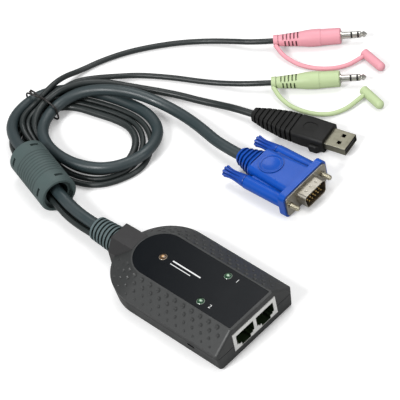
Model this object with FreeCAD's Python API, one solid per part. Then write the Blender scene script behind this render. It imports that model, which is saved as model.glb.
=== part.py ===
import FreeCAD, Part
import math
import os

# Adapter with two network sockets and four captive leads: analogue video, USB and two audio plugs.
# Origin: centre of the base of the adapter's case with its gland. +X points out of the sockets.
# Everything lies on the plane z = 0. Millimetres.

V = FreeCAD.Vector
UP = V(0, 0, 1)

# Case
overall_length = 108.0
shield_proud = 0.3
case_half_width = 26.5
ridge_height = 11.5
top_height = 19.5
top_half_width = 14.7
foot_draft = 1.1
foot_chamfer = 1.0
wall = 1.8
corner_radius = 1.6
seam_height = 8.5
seam_groove = 0.3
lip_height = 1.2
lip_thickness = 0.8
lip_clearance = 0.12
lip_root = 0.6

# Dents in the sloped facets: four rows, each at its share of the slope from the top's edge
dent_shares = (0.136, 0.369, 0.602, 0.831)
dent_radii = (1.4, 1.2, 0.98, 0.75)
dent_starts = (7.8, 5.2, 8.9, 6.3)
dent_pitch = 5.6
dent_depth_share = 0.5

# Top plate and light windows
label_half_width = 14.0
label_set_back = 1.5
label_depth = 0.9
label_clearance = 0.1
label_corner = 0.8
light_radius = 2.1
light_clearance = 0.1
light_proud = 0.5
light_flange = 0.6
light_flange_reach = 0.8
link_light_back = 24.7
link_light_side = 9.7
power_light_ahead = 1.7
lamp_height = 0.9
lamp_half = 1.5

# Socket block: a shielded pair of eight-way modular jacks
socket_pitch = 13.97
shield_width = 30.0
shield_height = 11.3
shield_depth = 21.0
shield_sheet = 0.3
shield_window_gap = 0.1
socket_roof = 2.4
socket_width = 12.0
socket_height = 6.9
socket_depth = 15.0
latch_width = 6.2
latch_height = 1.9
step_width = 9.6
step_height = 0.9
board_top = 4.9
contact_pitch = 1.02
contact_width = 0.45
contact_sheet = 0.3
contact_set_back = 2.5
contact_bend_back = 5.0
contact_end_back = 11.5
contact_drop = 2.2

# Board and what stands on it
board_thickness = 1.6
board_side_inset = 4.9
board_past_middle = 13.4
board_front_gap = 0.6
standoff_radius = 1.8
standoff_side = 8.0
standoff_inset = 4.0
front_screws_back = 9.8
front_screws_inset = 6.1
rear_screws_ahead = 1.0
rear_screws_inset = 9.5
boss_radius = 3.0
screw_hole_radius = 1.35
screw_head_radius = 2.4
screw_head_height = 1.8
head_pocket = 3.0
post_radius = 2.6
pilot_depth = 5.5
screw_clearance = 0.15
screw_short_by = 1.0
cross_half = 1.4
cross_width = 0.6
cross_floor = 2.1
chip_back = 51.0
chip_side = 10.0
chip_height = 1.4
transformer_back = 37.5
transformer_side = 9.0
transformer_size = (12.8, 9.4, 5.6)
crystal_back = 51.0
crystal_inset = 7.1
crystal_half = 3.25
crystal_radius = 2.35
crystal_height = 3.4

# Recovery switch in the near side
switch_back = 18.7
switch_length = 8.4
switch_width = 3.6
switch_height = 3.2
switch_wall_gap = 0.3
slot_length = 4.6
slot_height = 1.8
slot_middle = 6.2
knob_length = 1.6
knob_height = 1.3
knob_reach = 1.5
knob_travel = 2.0
knob_clearance = 0.15
knob_depth = 2.2
knob_groove = 0.25

# Cable gland: faceted cover and ribbed bush
gland_axis = 9.0
hood_length = 3.2
hood_half_width = 9.6
hood_roof_half = 5.5
hood_roof_drop = 0.5
hood_foot = 1.0
hood_shoulder = 11.8
neck_radius = 7.0
neck_clearance = 0.12
neck_start = 1.0
neck_wall_gap = 0.6
ear_thickness = 1.5
ear_lap = 0.3
hood_edge_radius = 0.9
bush_bore_radius = 5.0
bush_length = 17.0
bush_stem = 8.0
bush_big_radius = 7.3
bush_small_radius = 6.3
bush_ribs = 7
rib_depth = 1.1
rib_share = 0.62
rib_round = 0.35

# Ferrite on the leads
ferrite_start = V(-86.1, 3.6, 10.2)
ferrite_heading = 163.9
ferrite_length = 36.0
ferrite_radius = 10.2
ferrite_bore = 6.2
ferrite_tube = 0.7
ferrite_wall = 1.3
ferrite_end_wall = 3.4
ferrite_recess = 2.2
ferrite_lip = 2.0
ferrite_grooves = 9
ferrite_groove_pitch = 2.1
ferrite_groove_depth = 0.35
window_length = 1.6
window_half_angle = 14.0
window_inset = 3.6
window_turn = 26.0
core_clearance = 0.08

# Leads: diameters
video_diameter = 6.0
usb_diameter = 3.8
audio_diameter = 3.0

# Video plug
video_place = V(13.95, 81.4, 7.3)
video_heading = 2.0
plate_width = 30.8
plate_height = 12.5
plate_sheet = 0.8
plate_corner = 2.4
screw_spacing = 24.99
shell_width = 16.92
shell_height = 8.36
shell_reach = 5.9
shell_slope = 10.0
shell_sheet = 0.5
shell_corner = 2.2
dimple_radius = 0.8
dimple_out = 0.45
dimple_pitch = 3.8
insert_depth = 1.6
insert_proud = 0.6
flange_width = 33.0
flange_height = 14.6
flange_depth = 3.8
flange_corner = 3.0
hood_front_half = 10.2
hood_back_half = 8.6
video_hood_depth = 26.5
video_hood_thick = 11.8
relief_length = 12.5
relief_small = 4.3
relief_ribs = 5
relief_rib_share = 0.6
relief_rib_rise = 0.4
relief_step = 1.0
video_hood_corner = 2.6
barrel_radius = 3.6
barrel_length = 24.6
knob_radius = 3.3
thumb_length = 14.0
thumb_gap = 0.3
web_back = 2.0
web_share = 0.8
thumb_flutes = 10
flute_radius = 0.55
shank_radius = 1.25
thread_start = 0.2
thread_tip = 0.4
thread_radius = 1.42
thread_reach = 5.2
thread_clearance = 0.18
dish_radius = 6.4
dish_ring = 1.1
dish_height = 0.5
dish_set_in = 2.2
bowl_radius = 16.0
bowl_depth = 0.7
pin_pitch = 2.29
pin_row = 1.98
pin_radius = 0.42
pin_reach = 4.9

# USB plug
usb_place = V(-2.3, 116.7, 4.5)
usb_heading = 12.0
usb_shell_width = 12.0
usb_shell_height = 4.5
usb_reach = 12.3
usb_buried = 6.0
usb_sheet = 0.3
usb_hood_length = 45.0
usb_hood_half = 7.9
usb_hood_back_half = 3.4
usb_hood_thick = 9.0
usb_hood_back_thick = 6.6
usb_hood_stations = ((0.0, 0.0, 0.0), (0.16, 0.42, 0.45), (0.42, 0.86, 0.9), (0.7, 1.0, 1.0),
                     (1.0, 0.97, 1.0))
usb_hood_corner = 2.4
usb_groove_start = 2.2
usb_dish = (-11.5, -9.5, 3.0, 0.35)
usb_grooves = 9
usb_groove_pitch = 2.9
usb_groove_width = 1.1
usb_groove_depth = 0.7
usb_tongue = 1.9
usb_hole = 2.2
usb_hole_side = 2.55
usb_hole_back = 5.1
grip_reach = 1.5
grip_stations = (-9.6, -7.2, -3.4, -1.2)

# Audio plugs: microphone and speaker, alike but for place
mic_place = V(-73.2, 155.8, 4.7)
mic_heading = 40.0
speaker_place = V(-52.5, 131.4, 4.7)
speaker_heading = 39.0
audio_hood_length = 33.5
audio_hood_radius = 4.7
audio_nose_radius = 4.35
audio_relief_length = 13.0
audio_relief_radius = 3.1
audio_relief_end = 3.9
audio_slots = 5
audio_slot_width = 0.8
audio_slot_pitch = 2.0
audio_slot_start = 2.4
audio_slot_depth = 1.0
jack_radius = 1.75
jack_collar = 2.5
jack_collar_depth = 0.6
jack_marks = (5.2, 6.2, 8.7, 9.7)
jack_length = 14.0
jack_waist = 1.1

# Caps on their straps: the ring sits on the lead behind the plug
strap_radius = 1.2
ring_thickness = 2.4
ring_wall = 1.4
ring_clearance = 0.3
ring_gap = 0.1
cap_radius = 2.5
cap_length = 16.5
cap_bore_clearance = 0.1
cap_bore_depth = 14.8
mic_cap_place = V(-30.0, 175.9, 2.55)
mic_cap_heading = -12.5
speaker_cap_place = V(-12.2, 154.5, 2.55)
speaker_cap_heading = -13.9

# Wire tie round the coil
tie_wire = 1.0
tie_bend = 3.2
tie_y = 47.0


# Routes of the leads from the gland to their plugs: by hand, once round the coil that the tie holds
video_route = [
    (-54, 0, 10.6), (-69.5, 0.2, 10.9), (-86, 3.7, 11.8), (-103.3, 8.4, 12), (-120.7, 13.8, 11.7),
    (-135, 17.6, 10.4), (-147, 25.8, 7.8), (-154, 39, 5), (-153.4, 54, 3.8), (-142.9, 66.6, 3.2),
    (-127.5, 72.6, 3.1), (-111.5, 76, 3.1), (-95.5, 77, 3.2), (-81.5, 71.5, 3.8), (-73.5, 60, 6.2),
    (-72.8, 46, 7.2), (-81, 32.6, 7.3), (-95.6, 25.8, 7.2), (-111.6, 24.7, 7.1), (-126, 28.9, 7.1),
    (-135.2, 38.4, 6), (-137.9, 51.3, 6.5), (-132.9, 63, 8.8), (-121.5, 71.5, 10.8), (-106.5, 79.6, 9.8),
    (-91.5, 84.3, 6.2), (-76, 85, 5.4), (-60, 82.6, 6.6), (-44.5, 79.36, 7.3), (-29.62, 79.88, 7.3),
]
usb_route = [
    (-54, 3.6, 7), (-69.5, 3.6, 6.2), (-85.5, 6.4, 7.5), (-102.5, 11.4, 7.6), (-119.9, 16.2, 7.4),
    (-129.8, 19.6, 4.5), (-138.8, 26.3, 2.1), (-141.8, 37, 2.5), (-142.2, 47, 3.2), (-138.4, 54.8, 2.1),
    (-130.3, 59, 1.95), (-120, 61.2, 1.95), (-108, 64, 1.95), (-97, 64.6, 1.95), (-88.2, 60.4, 1.95),
    (-82.6, 53.4, 1.95), (-79.8, 44.5, 1.95), (-82.8, 35.8, 1.95), (-90, 30, 1.95),
    (-100.5, 26.8, 1.95), (-112, 27, 1.95), (-122, 29.2, 1.95), (-131.9, 30.3, 1.95),
    (-138.2, 33.8, 5.8), (-141.6, 41, 8.6), (-142.8, 49, 9.2), (-141.6, 58.5, 10), (-136, 67.8, 10.4),
    (-126.5, 76.5, 9.2), (-115.9, 86, 3.4), (-103.5, 92.4, 2), (-92, 96.6, 1.95), (-79.4, 100, 1.95),
    (-67.5, 103.6, 2.5), (-56.6, 105.16, 4.5), (-46.32, 107.34, 4.5),
]
mic_route = [
    (-54, -3.9, 7.6), (-69.5, -4.2, 7), (-86.8, -0.3, 8.6), (-104.3, 4.9, 8.6), (-121.8, 9.8, 8.4),
    (-132.5, 13.6, 6.4), (-141, 19.4, 4), (-146.8, 27.4, 2.6), (-149.3, 37.5, 2.4), (-149.2, 47.5, 2.8),
    (-146, 56.4, 1.8), (-138, 63.9, 1.55), (-126, 67.8, 1.55), (-111.2, 71.2, 1.55), (-97, 72.1, 1.55),
    (-84.8, 67.8, 1.55), (-75.5, 58.6, 1.55), (-70.2, 46.5, 1.55), (-75.5, 31.6, 1.55),
    (-83.5, 23, 1.55), (-96.5, 18.6, 1.55), (-110, 19.6, 1.55), (-120.5, 22, 1.6), (-129, 24, 4.4),
    (-138.4, 26.3, 8.2), (-146.4, 33.8, 7.6), (-148.6, 44.6, 6), (-148.6, 57, 9.2), (-150.2, 68, 6.8),
    (-150, 79.5, 2.2), (-146.2, 92.3, 1.55), (-139.1, 105.1, 1.55), (-130.3, 116.1, 1.55),
    (-120.5, 126.2, 1.55), (-109, 135.4, 1.6), (-96, 142.6, 2.6), (-82.8, 147.75, 4.7),
    (-73.2, 155.8, 4.7),
]
speaker_route = [
    (-54, 0, 5.2), (-69.5, -0.8, 4.6), (-86.2, 2.8, 6), (-103.5, 7.6, 6.1), (-120.9, 12.8, 6),
    (-132, 17, 4.4), (-140.6, 23, 2.6), (-144.5, 30.5, 1.9), (-146, 38.5, 2.3), (-146, 47, 2.8),
    (-142.8, 55.6, 1.7), (-134.8, 61.2, 1.55), (-124.5, 64.4, 1.55), (-110.5, 67.9, 1.55),
    (-97, 68.7, 1.55), (-86.6, 64.2, 1.55), (-79.6, 56, 1.55), (-75.2, 46, 1.55), (-78.2, 34.8, 1.55),
    (-85, 27, 1.55), (-97.5, 22.3, 1.55), (-111, 23.1, 1.55), (-121.5, 25.6, 1.6), (-130.6, 26.8, 3.4),
    (-139.4, 29.9, 6.7), (-144.9, 37.8, 5.6), (-145, 47.5, 6), (-144.6, 58, 6.8), (-140.8, 68.5, 8.4),
    (-134.8, 77.6, 6.8), (-130, 87.2, 2.6), (-122.4, 94.6, 1.6), (-112.8, 100.3, 1.55),
    (-101.2, 106.1, 1.55), (-89.8, 110.9, 1.6), (-77, 116.6, 2.4), (-62.2, 123.55, 4.7),
    (-52.5, 131.4, 4.7),
]
mic_strap_route = [
    (-72.5, 152.5, 4.2), (-64.5, 149.8, 2.6), (-53.8, 150.2, 1.4), (-44.4, 153.4, 1.3), (-36.9, 158.3, 1.5),
    (-31.4, 164.8, 1.9), (-28.8, 174.4, 2.5),
]
speaker_strap_route = [
    (-51.9, 128.1, 4.2), (-45.0, 125.3, 2.8), (-37.4, 124.6, 1.4), (-29.4, 125.4, 1.3), (-21.6, 128.0, 1.3),
    (-15.0, 132.7, 1.4), (-11.0, 140.0, 1.8), (-9.6, 153.2, 2.5),
]
tie_loop = [(-157.4, 0.55), (-133.4, 0.55), (-133.4, 9.7), (-141.3, 12.2), (-157.4, 8.4)]
tie_end_1 = [(-147.0, 47.0, 10.9), (-149.5, 45.9, 11.5), (-152.6, 46.4, 12.4)]
tie_end_2 = [(-147.0, 47.0, 10.9), (-149.9, 48.0, 11.3), (-152.2, 46.8, 13.2)]

# Worked out from the sizes above
rear = -overall_length / 2
hood_back = rear + bush_length
case_middle = hood_back + hood_length + case_half_width
front = overall_length / 2 - shield_proud
side_length = front - case_middle
screw_places = ((front_screws_back, front_screws_inset), (side_length - rear_screws_ahead, rear_screws_inset))
power_light_back = side_length - power_light_ahead
foot_half_width = case_half_width - foot_draft
hood_roof = top_height - hood_roof_drop
board_half_width = case_half_width - board_side_inset
crystal_side = crystal_inset - board_half_width
slope_run = case_half_width - top_half_width
slope_rise = top_height - ridge_height
slope_length = math.hypot(slope_run, slope_rise)
dent_rows = [top_half_width + share * slope_run for share in dent_shares]
board_front = front - wall - board_front_gap
board_length = board_front - case_middle + board_past_middle


def save(name, shape):
    shape.exportStep("parts/" + name + ".step")
    print(name, len(shape.Solids), "solids", round(shape.Volume, 1), "mm3", shape.isValid())


def box(x0, x1, y0, y1, z0, z1):
    return Part.makeBox(x1 - x0, y1 - y0, z1 - z0, V(x0, y0, z0))


def rod(radius, start, direction, length):
    return Part.makeCylinder(radius, length, start, direction)


def polygon(points):
    return Part.makePolygon(list(points) + [points[0]])


def prism(points, direction):
    return Part.Face(polygon(points)).extrude(direction)


def turned(profile, axis_z=0.0):
    """Solid of revolution about the X axis from (x, radius) pairs, first and last on the axis."""
    face = Part.Face(polygon([V(x, 0, r) for x, r in profile]))
    solid = face.revolve(V(0, 0, 0), V(1, 0, 0), 360)
    solid.translate(V(0, 0, axis_z))
    return solid


def set_down(shape, place, heading):
    """Turns a piece that was made along +X to its heading and moves it to its place."""
    moved = shape.copy()
    moved.rotate(V(0, 0, 0), UP, heading)
    moved.translate(place)
    return moved


def group(shapes):
    return Part.makeCompound(list(shapes))


# Case: one outline serves the shells, the cavity, the lip and the top plate


def bullet(half, front_x, z, corner=corner_radius):
    """Plan of the case: flat front, straight sides and a half-round rear about the same middle."""
    inner = half - corner
    tilt = corner * math.sqrt(0.5)
    left = V(front_x - corner, half, z)
    right = V(front_x - corner, -half, z)
    edges = [
        Part.makeLine(V(front_x, inner, z), V(front_x, -inner, z)),
        Part.Arc(V(front_x, -inner, z), V(front_x - corner + tilt, -inner - tilt, z), right).toShape(),
        Part.makeLine(right, V(case_middle, -half, z)),
        Part.Arc(V(case_middle, -half, z), V(case_middle - half, 0, z), V(case_middle, half, z)).toShape(),
        Part.makeLine(V(case_middle, half, z), left),
        Part.Arc(left, V(front_x - corner + tilt, inner + tilt, z), V(front_x, inner, z)).toShape(),
    ]
    return Part.Wire(edges)


def plate(half, front_x, z0, z1, corner=corner_radius):
    return Part.Face(bullet(half, front_x, z0, corner)).extrude(V(0, 0, z1 - z0))


def tower(sections):
    """Ruled solid through bullet outlines given as (half width, front, height)."""
    return Part.makeLoft([bullet(*section) for section in sections], True, True)


def side_half(z):
    share = (z - foot_chamfer) / (ridge_height - foot_chamfer)
    return foot_half_width + share * (case_half_width - foot_half_width)


def envelope():
    lower = tower([
        (foot_half_width - foot_chamfer, front - foot_chamfer, 0),
        (foot_half_width, front, foot_chamfer),
        (case_half_width, front, ridge_height),
    ])
    upper = tower([(case_half_width, front, ridge_height), (top_half_width, front, top_height)])
    return lower.fuse(upper)


def cavity():
    shoulder = ridge_height - wall * slope_run / (slope_length + slope_rise)
    roof = top_height - wall
    roof_half = top_half_width + (wall - wall * slope_length / slope_run) * slope_run / slope_rise
    inside = front - wall
    lower = tower([(foot_half_width - wall, inside, wall), (side_half(shoulder) - wall, inside, shoulder)])
    upper = tower([(side_half(shoulder) - wall, inside, shoulder), (roof_half, inside, roof)])
    return lower.fuse(upper)


def facet_height(distance):
    return ridge_height + (case_half_width - distance) * slope_rise / slope_run


def dents():
    """Shallow round dents on both facets and round the rear, smaller towards the outside."""
    tools = []
    middle_row = sum(dent_rows) / len(dent_rows)
    for distance, radius, start in zip(dent_rows, dent_radii, dent_starts):
        depth = radius * dent_depth_share
        step = 0
        while True:
            along = start + step * dent_pitch
            step += 1
            past = along - side_length
            swing = math.radians(90) - max(past, 0) / middle_row
            out = distance * math.sin(swing)
            if out < hood_half_width + radius + 0.8:
                break
            x = case_middle - distance * math.cos(swing) if past > 0 else front - along
            for side in (-1, 1):
                foot = V(x, side * out, facet_height(distance))
                flat = slope_rise / slope_length
                normal = V(-math.cos(swing) * flat, side * math.sin(swing) * flat, slope_run / slope_length)
                spare = 0.3 * depth
                tools.append(Part.makeCone(
                    radius * 1.3, 0, depth + spare, foot + normal * spare, normal * -1))
    return tools


def screw_points():
    return [(front - back, side * (case_half_width - inset)) for back, inset in screw_places
            for side in (-1, 1)]


def light_points():
    return [
        ("power_led", front - power_light_back, 0.0),
        ("link_led_1", front - link_light_back, link_light_side),
        ("link_led_2", front - link_light_back, -link_light_side),
    ]


def window_tool():
    gap = shield_window_gap
    half = shield_width / 2 + gap
    return box(front - wall - 1, front + 1, -half, half, board_top - gap, board_top + shield_height + gap)


def neck_tool(clearance):
    start = V(hood_back + neck_start, 0, gland_axis)
    reach = case_middle - top_half_width - start.x - neck_wall_gap
    return rod(neck_radius + clearance, start, V(1, 0, 0), reach + clearance)


def lip_half():
    return side_half(seam_height) - wall


def seam_ring():
    z0 = seam_height - seam_groove / 2
    z1 = seam_height + seam_groove / 2
    outer = plate(case_half_width + 2, front + 2, z0, z1)
    return outer.cut(plate(side_half(seam_height) - seam_groove, front - seam_groove, z0, z1))


def shield_room():
    """Clear room under the lid for the shell of the sockets."""
    half = shield_width / 2 + shield_window_gap
    roof = board_top + shield_height + shield_window_gap
    return box(front - shield_depth - shield_window_gap, front, -half, half, board_top, roof)


def case_top():
    shell = envelope().cut(cavity())
    shell = shell.cut(box(rear - 5, front + 5, -40, 40, -5, seam_height))
    posts = []
    for x, y in screw_points():
        post = rod(post_radius, V(x, y, seam_height), UP, top_height - seam_height)
        posts.append(post.common(envelope()))
    shell = shell.fuse(posts)
    pilots = [rod(screw_hole_radius - screw_clearance, V(x, y, seam_height), UP, pilot_depth)
              for x, y in screw_points()]
    recess = plate(label_half_width, front - label_set_back, top_height - label_depth, top_height + 1,
                   label_corner)
    holes = [rod(light_radius + light_clearance, V(x, y, top_height - 4), UP, 6)
             for _, x, y in light_points()]
    rebate = plate(lip_half() + lip_thickness + lip_clearance, front - wall + lip_thickness + lip_clearance,
                   seam_height, seam_height + lip_height + lip_clearance)
    rebate = rebate.cut(group([rod(post_radius + 0.01, V(x, y, 0), UP, 20) for x, y in screw_points()]))
    tools = pilots + holes + [recess, rebate, window_tool(), shield_room(), neck_tool(neck_clearance)]
    return shell.cut(tools + [seam_ring()] + dents())


def case_bottom():
    shell = envelope().cut(cavity())
    shell = shell.cut(box(rear - 5, front + 5, -40, 40, seam_height, top_height + 5))
    lip = plate(lip_half() + lip_thickness, front - wall + lip_thickness,
                seam_height - lip_root, seam_height + lip_height)
    lip = lip.cut(plate(lip_half(), front - wall, seam_height - 1, seam_height + lip_height + 1))
    lip = lip.cut([rod(post_radius + lip_clearance, V(x, y, 0), UP, 20) for x, y in screw_points()])
    bosses = [rod(boss_radius, V(x, y, wall / 2), UP, seam_height - wall / 2) for x, y in screw_points()]
    under = board_top - board_thickness
    stands = [rod(standoff_radius, V(x, y, wall / 2), UP, under - wall / 2)
              for x in (board_front - standoff_inset, board_front - board_length + standoff_inset)
              for y in (-standoff_side, standoff_side)]
    shell = shell.fuse([lip] + bosses + stands)
    tools = []
    for x, y in screw_points():
        tools.append(rod(screw_hole_radius + screw_clearance, V(x, y, -1), UP, seam_height + 2))
        tools.append(rod(screw_head_radius + screw_clearance, V(x, y, -1), UP, head_pocket + 1))
    slot_x = front - switch_back
    slot = box(slot_x - slot_length / 2, slot_x + slot_length / 2, -case_half_width - 1, -lip_half() + 1,
               slot_middle - slot_height / 2, slot_middle + slot_height / 2)
    return shell.cut(tools + [slot, window_tool(), neck_tool(neck_clearance), seam_ring()])


def case_screws():
    """Four screws from below, each with a pan head in its pocket and a shank up into the lid's post."""
    screws = []
    for x, y in screw_points():
        head = rod(screw_head_radius, V(x, y, head_pocket - screw_head_height), UP, screw_head_height)
        shank_length = seam_height + pilot_depth - screw_short_by - head_pocket
        shank = rod(screw_hole_radius - screw_clearance, V(x, y, head_pocket), UP, shank_length)
        half = cross_width / 2
        cross = [box(x - cross_half, x + cross_half, y - half, y + half, 0, cross_floor),
                 box(x - half, x + half, y - cross_half, y + cross_half, 0, cross_floor)]
        screws.append(head.fuse(shank).cut(cross))
    return group(screws)


def top_label():
    gap = label_clearance
    label = plate(label_half_width - gap, front - label_set_back - gap, top_height - label_depth,
                  top_height, label_corner - gap)
    return label.cut([rod(light_radius + light_clearance, V(x, y, 0), UP, 40) for _, x, y in light_points()])


def light_window(x, y):
    """Clear pipe with a domed head: its flange sits under the lid and its foot on the board's lamp."""
    foot = board_top + lamp_height
    head = top_height + light_proud
    ceiling = top_height - wall
    pipe = rod(light_radius, V(x, y, foot), UP, head - foot)
    dome_radius = light_radius * 1.5
    dome = Part.makeSphere(dome_radius, V(x, y, head - dome_radius))
    below = rod(light_radius + 1, V(x, y, foot - 1), UP, head - foot - light_radius)
    flange = rod(light_radius + light_flange_reach, V(x, y, ceiling - light_flange), UP, light_flange)
    return pipe.common(dome.fuse(below)).fuse(flange)


def lamp_packages():
    return group([box(x - lamp_half, x + lamp_half, y - lamp_half, y + lamp_half,
                      board_top, board_top + lamp_height) for _, x, y in light_points()])


# Socket block


def socket_centres():
    return (-socket_pitch / 2, socket_pitch / 2)


def socket_profile(y, x, length):
    """Opening of one socket: wide above, stepped, with the latch notch through its lower edge."""
    top = board_top + shield_height - socket_roof
    bands = ((socket_width, socket_height - step_height), (step_width, socket_height),
             (latch_width, socket_height + latch_height))
    steps = [box(x - length, x, y - width / 2, y + width / 2, top - depth, top) for width, depth in bands]
    return steps[0].fuse(steps[1:])


def port_shield():
    half = shield_width / 2
    top = board_top + shield_height
    outer = box(front + shield_proud - shield_depth, front + shield_proud, -half, half, board_top, top)
    inner = box(front + shield_proud - shield_depth + shield_sheet, front + shield_proud - shield_sheet,
                -half + shield_sheet, half - shield_sheet, board_top - 1, top - shield_sheet)
    mouths = [socket_profile(y, front + 1, 3) for y in socket_centres()]
    return outer.cut([inner] + mouths)


def port_housing():
    half = shield_width / 2 - shield_sheet
    top = board_top + shield_height - shield_sheet
    back = front + shield_proud - shield_depth + shield_sheet
    block = box(back, front + shield_proud - shield_sheet, -half, half, board_top, top)
    return block.cut([socket_profile(y, front + 1, socket_depth + 1) for y in socket_centres()])


def port_contacts(y_middle):
    """Eight spring wires: each lies along the socket's ceiling, then slants down to the rear."""
    ceiling = board_top + shield_height - socket_roof
    upper = [(contact_set_back, 0.0), (contact_bend_back, 0.0), (contact_end_back, contact_drop)]
    lower = [(back, drop + contact_sheet) for back, drop in reversed(upper)]
    wires = []
    for i in range(8):
        y = y_middle + (i - 3.5) * contact_pitch - contact_width / 2
        points = [V(front - back, y, ceiling - drop) for back, drop in upper + lower]
        wires.append(prism(points, V(0, contact_width, 0)))
    return group(wires)


def circuit_board():
    back = board_front - board_length
    board = box(back, board_front, -board_half_width, board_half_width,
                board_top - board_thickness, board_top)
    corners = plate(side_half(board_top) - wall - 0.4, front - wall - 0.4, 0, 20)
    notches = [rod(boss_radius + 0.3, V(x, y, 0), UP, 20) for x, y in screw_points()]
    return board.common(corners).cut(notches)


def board_block(back, y, length, width, height):
    x = front - back
    return box(x - length / 2, x + length / 2, y - width / 2, y + width / 2, board_top, board_top + height)


def controller_chip():
    body = board_block(chip_back, 0, chip_side, chip_side, chip_height)
    corner = chip_side * 0.36
    dot = rod(0.5, V(front - chip_back + corner, corner, board_top + chip_height - 0.2), UP, 1)
    return body.cut(dot)


def network_transformers():
    return group([board_block(transformer_back, y, *transformer_size)
                  for y in (-transformer_side, transformer_side)])


def clock_crystal():
    flat = board_block(crystal_back, crystal_side, 2 * crystal_half, 2 * crystal_radius, crystal_height)
    ends = [rod(crystal_radius, V(front - crystal_back + dx, crystal_side, board_top), UP, crystal_height)
            for dx in (-crystal_half, crystal_half)]
    return flat.fuse(ends)


# Recovery switch: the knob slides along X in its body and shows in the case's slot


def switch_face():
    return -side_half(board_top) + wall + switch_wall_gap


def recovery_switch_body():
    x = front - switch_back
    y0 = switch_face()
    body = box(x - switch_length / 2, x + switch_length / 2, y0, y0 + switch_width,
               board_top, board_top + switch_height)
    half = (knob_length + knob_travel) / 2 + knob_clearance
    z0 = slot_middle - knob_height / 2 - knob_clearance
    z1 = slot_middle + knob_height / 2 + knob_clearance
    track = box(x - half, x + half, y0 - 1, y0 + knob_depth + knob_clearance, z0, z1)
    return body.cut(track)


def recovery_switch_knob():
    """At rest the knob is at the socket end of its track."""
    x = front - switch_back + knob_travel / 2
    tip = switch_face() - knob_reach
    z0 = slot_middle - knob_height / 2
    half = knob_length / 2
    knob = box(x - half, x + half, tip, switch_face() + knob_depth, z0, z0 + knob_height)
    grooves = [box(mid - knob_groove / 2, mid + knob_groove / 2, tip - 1, tip + knob_groove, z0 - 1, z0 + 3)
               for mid in (x - half / 2, x, x + half / 2)]
    return knob.cut(grooves)


# Gland


def cable_hood():
    """Faceted cover: a roofed prism against the case, with a neck and two ears inside the rear wall."""
    points = [V(0, -hood_half_width, hood_foot), V(0, hood_half_width, hood_foot),
              V(0, hood_half_width, hood_shoulder), V(0, hood_roof_half, hood_roof),
              V(0, -hood_roof_half, hood_roof), V(0, -hood_half_width, hood_shoulder)]
    length = case_middle - top_half_width - hood_back
    roofed = prism([p + V(hood_back, 0, 0) for p in points], V(length, 0, 0))
    ends = [edge for edge in roofed.Edges if abs(edge.BoundBox.XMax - hood_back) < 0.01]
    roofed = roofed.makeFillet(hood_edge_radius, ends)
    cover = roofed.cut(envelope())
    cover = max(cover.Solids, key=lambda solid: solid.Volume)
    ear_x = case_middle - math.sqrt(lip_half() ** 2 - hood_half_width ** 2) + ear_lap
    ears = box(ear_x, ear_x + ear_thickness, -hood_half_width + 0.1, hood_half_width - 0.1,
               wall + 0.6, ridge_height - wall - 0.4)
    bore = rod(bush_bore_radius, V(hood_back - 1, 0, gland_axis), V(1, 0, 0), case_middle - hood_back)
    return cover.fuse([neck_tool(0.0), ears]).cut(bore)


def cable_grommet():
    """Ribbed bush that tapers away from the cover, with a stem in the cover's bore."""
    length = hood_back - rear
    pitch = length / bush_ribs
    profile = [(rear, 0)]
    for i in range(bush_ribs):
        x = rear + i * pitch
        share = (i + 0.5) / bush_ribs
        radius = bush_small_radius + (bush_big_radius - bush_small_radius) * share
        profile += [(x, radius - rib_round), (x + rib_round, radius), (x + pitch * rib_share, radius)]
        if i < bush_ribs - 1:
            profile += [(x + pitch * rib_share, radius - rib_depth), (x + pitch, radius - rib_depth)]
    profile += [(hood_back, bush_big_radius), (hood_back, bush_bore_radius - 0.02)]
    profile += [(hood_back + bush_stem, bush_bore_radius - 0.02), (hood_back + bush_stem, 0)]
    return turned(profile, gland_axis)


# Ferrite


def ferrite_cover():
    """Overmould: grooved barrel, stepped end faces, a bore tube and a closed room for the core."""
    n = ferrite_length
    r = ferrite_radius
    tube = ferrite_bore + ferrite_tube
    profile = [(ferrite_recess, ferrite_bore), (ferrite_recess, tube + 0.6),
               (ferrite_recess - 1.0, tube + 1.2), (0, r - ferrite_lip), (0, r - 0.9), (0.9, r)]
    span = (ferrite_grooves - 1) * ferrite_groove_pitch
    for i in range(ferrite_grooves):
        x = n / 2 - span / 2 + i * ferrite_groove_pitch
        profile += [(x - 0.5, r), (x - 0.15, r - ferrite_groove_depth), (x + 0.15, r - ferrite_groove_depth),
                    (x + 0.5, r)]
    profile += [(n - x, radius) for x, radius in reversed(profile[:6])]
    barrel = turned(profile)
    room = rod(r - ferrite_wall, V(ferrite_end_wall, 0, 0), V(1, 0, 0), n - 2 * ferrite_end_wall)
    room = room.cut(rod(tube, V(0, 0, 0), V(1, 0, 0), n))
    half = math.radians(window_half_angle)
    windows = []
    for x in (window_inset, n - window_inset - window_length):
        for quarter in range(4):
            wedge = prism([V(x, 0, 0), V(x, -30 * math.sin(half), 30 * math.cos(half)),
                           V(x, 30 * math.sin(half), 30 * math.cos(half))], V(window_length, 0, 0))
            wedge.rotate(V(0, 0, 0), V(1, 0, 0), window_turn + 90 * quarter)
            windows.append(wedge)
    skin = r - ferrite_wall - 0.01
    ring = rod(r + 2, V(0, 0, 0), V(1, 0, 0), n).cut(rod(skin, V(-1, 0, 0), V(1, 0, 0), n + 2))
    windows = [wedge.common(ring) for wedge in windows]
    barrel = barrel.cut([room] + windows)
    return set_down(barrel, ferrite_start, ferrite_heading)


def ferrite_core():
    outer = ferrite_radius - ferrite_wall - core_clearance
    inner = ferrite_bore + ferrite_tube + core_clearance
    x0 = ferrite_end_wall + core_clearance
    length = ferrite_length - 2 * x0
    core = rod(outer, V(x0, 0, 0), V(1, 0, 0), length).cut(rod(inner, V(0, 0, 0), V(1, 0, 0), ferrite_length))
    return set_down(core, ferrite_start, ferrite_heading)


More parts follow.
